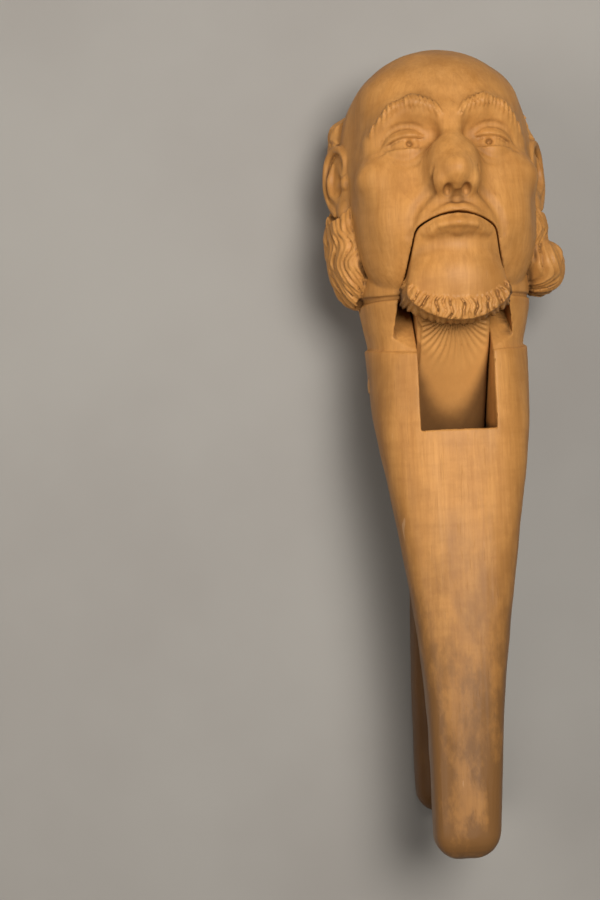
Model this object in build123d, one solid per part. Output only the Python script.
"""Carved wooden lever nutcracker: a head with a front handle, a jaw lever with the rear handle, and a hinge pin.

It lies on its back, as it is put down on a table: +Z is up, out of the face, +Y runs from the handles to the
crown, and +X is to the right as the face is looked at. The origin is under the middle of its length, on the table.
All sizes are in millimetres.
"""
from build123d import *
from math import copysign, cos, pi, sin
import os

# Overall size
TOTAL_LENGTH = 206.0
CROWN_Y = TOTAL_LENGTH / 2 - 0.15
FRONT_END_Y = -TOTAL_LENGTH / 2
REAR_END_Y = -97.0

# Hinge: a wooden dowel across the slot
PIVOT_Y = 17.0
PIVOT_Z = 32.0
PIN_RADIUS = 2.2
PIN_CLEARANCE = 0.05
PIN_PROUD = 0.7

# Slot through the neck, and the lever that swings in it
SLOT_WIDTH = 19.2
LEVER_WIDTH = 18.4
WINDOW_BOTTOM_Y = PIVOT_Y - 12.0
NAPE_EDGE_Y = PIVOT_Y + 15.0
COLLAR_Y = PIVOT_Y + 9.0

# Jaw: the part of the lever that shows in the face
MOUTH_TOP_Y = 58.0
MOUTH_CORNER = (9.8, 54.4)
JAW_CORNER = (13.2, 38.0)
JAW_BOTTOM_Y = 31.6
JAW_GAP = 0.4
JAW_BACK_Z = 44.0
CHAMBER_BACK_Z = 38.0
CHAMBER_TOP_Y = 56.0
RECESS_HALF_WIDTH = 13.9
RECESS_PLANE_DISTANCE = 19.0
RECESS_PLANE_ANGLE = 46.0

# Larger than anything that a cut has to pass through
FAR = 90.0
OVAL_POINTS = 24

# Head frame: its centre between the ears, and how far the face is tipped back
HEAD_Y = 70.0
HEAD_Z = 31.5
HEAD_TILT = 15.0

# Front handle, from the collar down: (y, back z, front z, half width, squareness)
FRONT_HANDLE = [
    (COLLAR_Y, 11.5, 50.4, 20.6, 2.5),
    (10.0, 20.5, 51.0, 19.9, 2.7),
    (-6.0, 28.8, 51.4, 17.8, 2.9),
    (-22.0, 32.6, 51.7, 15.2, 3.0),
    (-38.0, 34.6, 52.0, 12.8, 3.0),
    (-54.0, 36.3, 52.3, 10.8, 3.0),
    (-70.0, 37.8, 52.7, 9.5, 3.0),
    (-86.0, 39.0, 53.1, 8.8, 3.0),
    (-102.0, 40.0, 53.4, 8.3, 3.0),
    (-118.0, 41.0, 53.6, 8.0, 3.0),
]
HANDLE_END_RADIUS = 5.0

# Neck and head, from the collar up to the crown: (y, back z, front z, half width)
NECK_AND_HEAD = [
    (COLLAR_Y - 5.0, 12.5, 49.6, 19.8),
    (COLLAR_Y + 2.0, 10.5, 50.2, 20.6),
    (38.0, 8.0, 53.6, 22.6),
    (44.0, 5.0, 58.0, 23.9),
    (52.0, 1.8, 61.0, 24.6),
    (60.0, -0.4, 61.4, 24.8),
    (70.0, -1.4, 60.0, 24.8),
    (80.0, -0.8, 57.6, 24.2),
    (88.0, 1.6, 54.8, 22.4),
    (95.0, 6.6, 50.0, 18.8),
    (100.0, 13.6, 43.4, 12.8),
    (102.4, 20.4, 37.0, 6.8),
]
CROWN_Z = 28.6

# Rear handle, from the slot down: (y, back z, front z, half width, squareness)
REAR_HANDLE = [
    (10.0, 17.2, 35.0, LEVER_WIDTH / 2, 4.4),
    (-6.0, 12.8, 29.4, LEVER_WIDTH / 2, 4.2),
    (-22.0, 9.0, 24.6, 9.2, 3.8),
    (-38.0, 6.0, 21.0, 9.4, 3.6),
    (-54.0, 3.6, 18.4, 9.7, 3.4),
    (-70.0, 1.8, 16.4, 9.9, 3.2),
    (-86.0, 0.6, 14.8, 9.9, 3.2),
    (-102.0, 0.1, 13.6, 9.7, 3.2),
]

# Lever inside the slot, seen from the side: back edge upwards, then front edge downwards, as (y, z)
LEVER_BACK_EDGE = [(-9.0, 12.6), (6.0, 15.8), (16.0, 19.2), (24.0, 24.0), (31.0, 31.6), (40.0, 43.0)]
LEVER_FRONT_EDGE = [(40.0, 55.0), (33.0, 50.0), (26.0, 45.2), (15.0, 38.6), (4.0, 32.8), (-9.0, 27.6)]
LEVER_EDGE_ROUNDING = 1.2


def cross_plane(y, z):
    """A plane across the length, facing the crown."""
    return Plane(origin=(0, y, z), x_dir=(1, 0, 0), z_dir=(0, 1, 0))


def squared_oval(y, back, front, half_width, squareness):
    """A section across a handle: an ellipse at squareness 2, and nearer to a rectangle above it."""
    middle, half_depth = (back + front) / 2, (front - back) / 2
    points = []
    for k in range(OVAL_POINTS):
        turn = 2 * pi * (k + 0.5) / OVAL_POINTS
        c, s = cos(turn), sin(turn)
        x = half_width * copysign(abs(c) ** (2 / squareness), c)
        z = middle + half_depth * copysign(abs(s) ** (2 / squareness), s)
        points.append((x, y, z))
    return make_face(Spline(*points, periodic=True))


def oval_section(y, back, front, half_width):
    return cross_plane(y, (back + front) / 2) * Ellipse(half_width, (front - back) / 2)


def on_head(u, v, w):
    """A place on the head, from its centre: u across, v towards the crown, w out of the face."""
    return Pos(0, HEAD_Y, HEAD_Z) * Rot(-HEAD_TILT, 0, 0) * Pos(u, v, w)


def lump(place, radii, turn=(0, 0, 0)):
    """An ellipsoid at a place on the head."""
    return on_head(*place) * Rot(*turn) * scale(Sphere(1), by=radii)


def both_sides(shape):
    return shape + mirror(shape, Plane.YZ)


def side_prism(points, half_width):
    """A prism across the width from an outline of (y, z) points."""
    outline = Plane.YZ * Polygon(*points, align=None)
    return extrude(outline, half_width, both=True)


def jaw_outline(gap):
    """The jaw as it is seen in the face, grown by a gap."""
    cx, cy = MOUTH_CORNER
    jx, jy = JAW_CORNER
    edges = [
        ThreePointArc((-cx, cy), (0, MOUTH_TOP_Y), (cx, cy)),
        Line((cx, cy), (jx, jy)),
        ThreePointArc((jx, jy), (0, JAW_BOTTOM_Y), (-jx, jy)),
        Line((-jx, jy), (-cx, cy)),
    ]
    outline = fillet(make_face(edges).vertices(), 1.6)
    return offset(outline, gap) if gap else outline


def head_skin():
    """The outside of the neck and head, jaw included, before anything is cut."""
    skull = loft([oval_section(*s) for s in NECK_AND_HEAD] + [Vertex(0, CROWN_Y, CROWN_Z)])
    brow = lump((9.6, 7.0, 20.4), (9.0, 2.8, 5.0), (0, 14, 0))
    eye = lump((9.4, 1.6, 21.2), (4.6, 2.6, 3.4), (0, 14, 0))
    nose = lump((0, -2.0, 25.4), (3.6, 10.0, 5.4), (14, 0, 0)) + lump((0, -9.6, 28.4), (5.0, 4.4, 5.2))
    lips = lump((0, -20.6, 22.4), (9.0, 3.6, 6.6))
    cheek = lump((13.6, -6.0, 15.2), (7.6, 8.0, 8.0))
    ear = lump((24.6, -2.0, -2.0), (3.6, 9.0, 5.4), (10, 0, -6))
    side_hair = lump((23.2, 4.0, -12.0), (5.0, 14.0, 8.0), (0, 0, 6))
    side_tuft = lump((24.0, -21.0, -6.6), (5.6, 8.4, 9.0), (0, 0, 12))
    return skull + nose + lips + both_sides(brow + eye + cheek + ear + side_hair + side_tuft)


def slot_outline():
    """The slot and the nut chamber seen from the side. The chamber runs a little up behind the upper lip."""
    return [
        (WINDOW_BOTTOM_Y, FAR),
        (WINDOW_BOTTOM_Y, -10.0),
        (NAPE_EDGE_Y, -10.0),
        (NAPE_EDGE_Y, 29.0),
        (40.0, CHAMBER_BACK_Z - 1.0),
        (CHAMBER_TOP_Y - 4.0, CHAMBER_BACK_Z),
        (CHAMBER_TOP_Y, CHAMBER_BACK_Z + 4.0),
        (CHAMBER_TOP_Y, JAW_BACK_Z),
        (CHAMBER_TOP_Y - 4.0, JAW_BACK_Z),
        (CHAMBER_TOP_Y - 4.0, FAR),
    ]


def lever_channel_outline():
    """The groove in the back of the front handle where the lever comes out, seen from the side."""
    return [(WINDOW_BOTTOM_Y + 1.0, 0.0), (WINDOW_BOTTOM_Y + 1.0, 38.0), (-18.0, 31.0), (-18.0, 0.0)]


def swing_recess():
    """The hollow beside the slot that the wide jaw swings down into."""
    block = Pos(RECESS_PLANE_DISTANCE + FAR / 2, 0, 0) * Box(FAR, 2 * RECESS_HALF_WIDTH, FAR)
    placed = Pos(0, PIVOT_Y, PIVOT_Z) * Rot(0, 0, 90) * Rot(0, -RECESS_PLANE_ANGLE, 0) * block
    bottom, top = COLLAR_Y - 4.0, JAW_CORNER[1]
    limit = Pos(0, (bottom + top) / 2, FAR / 2) * Box(FAR, top - bottom, FAR)
    return placed & limit


def tapered_handle(stations, end_y):
    """A handle through its sections, with all the edges of its end rounded over."""
    blank = loft([squared_oval(*s) for s in stations])
    _, back, front, half_width, _ = min(stations, key=lambda s: abs(s[0] - end_y))
    reach = 2 * HANDLE_END_RADIUS
    length = FAR + reach
    nose = Box(2 * half_width + 0.4, 2 * reach, front - back + 0.4)
    nose = fillet(nose.faces().sort_by(Axis.Y)[0].edges(), HANDLE_END_RADIUS)
    nose = Pos(0, end_y + reach, (back + front) / 2) * nose
    rest = Pos(0, end_y + reach + length, 0) * Box(2 * FAR, 2 * length, 2 * FAR)
    return blank & (nose + rest)


def head_and_front_handle(skin):
    handle = tapered_handle(FRONT_HANDLE, FRONT_END_Y)
    body = skin + handle
    body -= side_prism(slot_outline(), SLOT_WIDTH / 2)
    body -= side_prism(lever_channel_outline(), SLOT_WIDTH / 2)
    body -= Pos(0, 0, JAW_BACK_Z - 1.0) * extrude(jaw_outline(JAW_GAP), FAR)
    body -= swing_recess()
    body -= Pos(0, PIVOT_Y, PIVOT_Z) * Rot(0, 90, 0) * Cylinder(PIN_RADIUS, FAR)
    body -= Pos(0, 0, -FAR / 2) * Box(2 * FAR, 3 * FAR, FAR)
    return body


def lever_plate():
    """The flat-sided stretch of the lever that fills the slot."""
    edges = [
        Plane.YZ * Spline(*LEVER_BACK_EDGE),
        Plane.YZ * Line(LEVER_BACK_EDGE[-1], LEVER_FRONT_EDGE[0]),
        Plane.YZ * Spline(*LEVER_FRONT_EDGE),
        Plane.YZ * Line(LEVER_FRONT_EDGE[-1], LEVER_BACK_EDGE[0]),
    ]
    plate = extrude(make_face(edges), LEVER_WIDTH / 2, both=True)
    long_edges = [e for e in plate.edges() if e.length > 2 * LEVER_WIDTH]
    return fillet(long_edges, LEVER_EDGE_ROUNDING)


def jaw_lever(skin):
    beard = lump((0, -33.4, 17.6), (12.4, 10.4, 7.4))
    jaw = (skin + beard) & (Pos(0, 0, JAW_BACK_Z) * extrude(jaw_outline(0), FAR))
    dish = Pos(0, 50.0, JAW_BACK_Z) * Rot(0, 90, 0) * Cylinder(4.6, LEVER_WIDTH)
    handle = tapered_handle(REAR_HANDLE, REAR_END_Y)
    lever = jaw + lever_plate() + handle - dish
    return lever - Pos(0, PIVOT_Y, PIVOT_Z) * Rot(0, 90, 0) * Cylinder(PIN_RADIUS + PIN_CLEARANCE, FAR)


def pivot_pin():
    half_length = FRONT_HANDLE[1][3] + PIN_PROUD
    pin = Rot(0, 90, 0) * Cylinder(PIN_RADIUS, 2 * half_length)
    return Pos(0, PIVOT_Y, PIVOT_Z) * fillet(pin.edges().filter_by(GeomType.CIRCLE), 0.6)


def main():
    os.makedirs("parts", exist_ok=True)
    skin = head_skin()
    parts = {
        "head_and_front_handle": head_and_front_handle(skin),
        "jaw_lever": jaw_lever(skin),
        "pivot_pin": pivot_pin(),
    }
    for name, shape in parts.items():
        box = shape.bounding_box()
        print(name, len(shape.solids()), [round(x, 2) for x in (*box.min, *box.max)])
        export_step(shape, f"parts/{name}.step")


main()
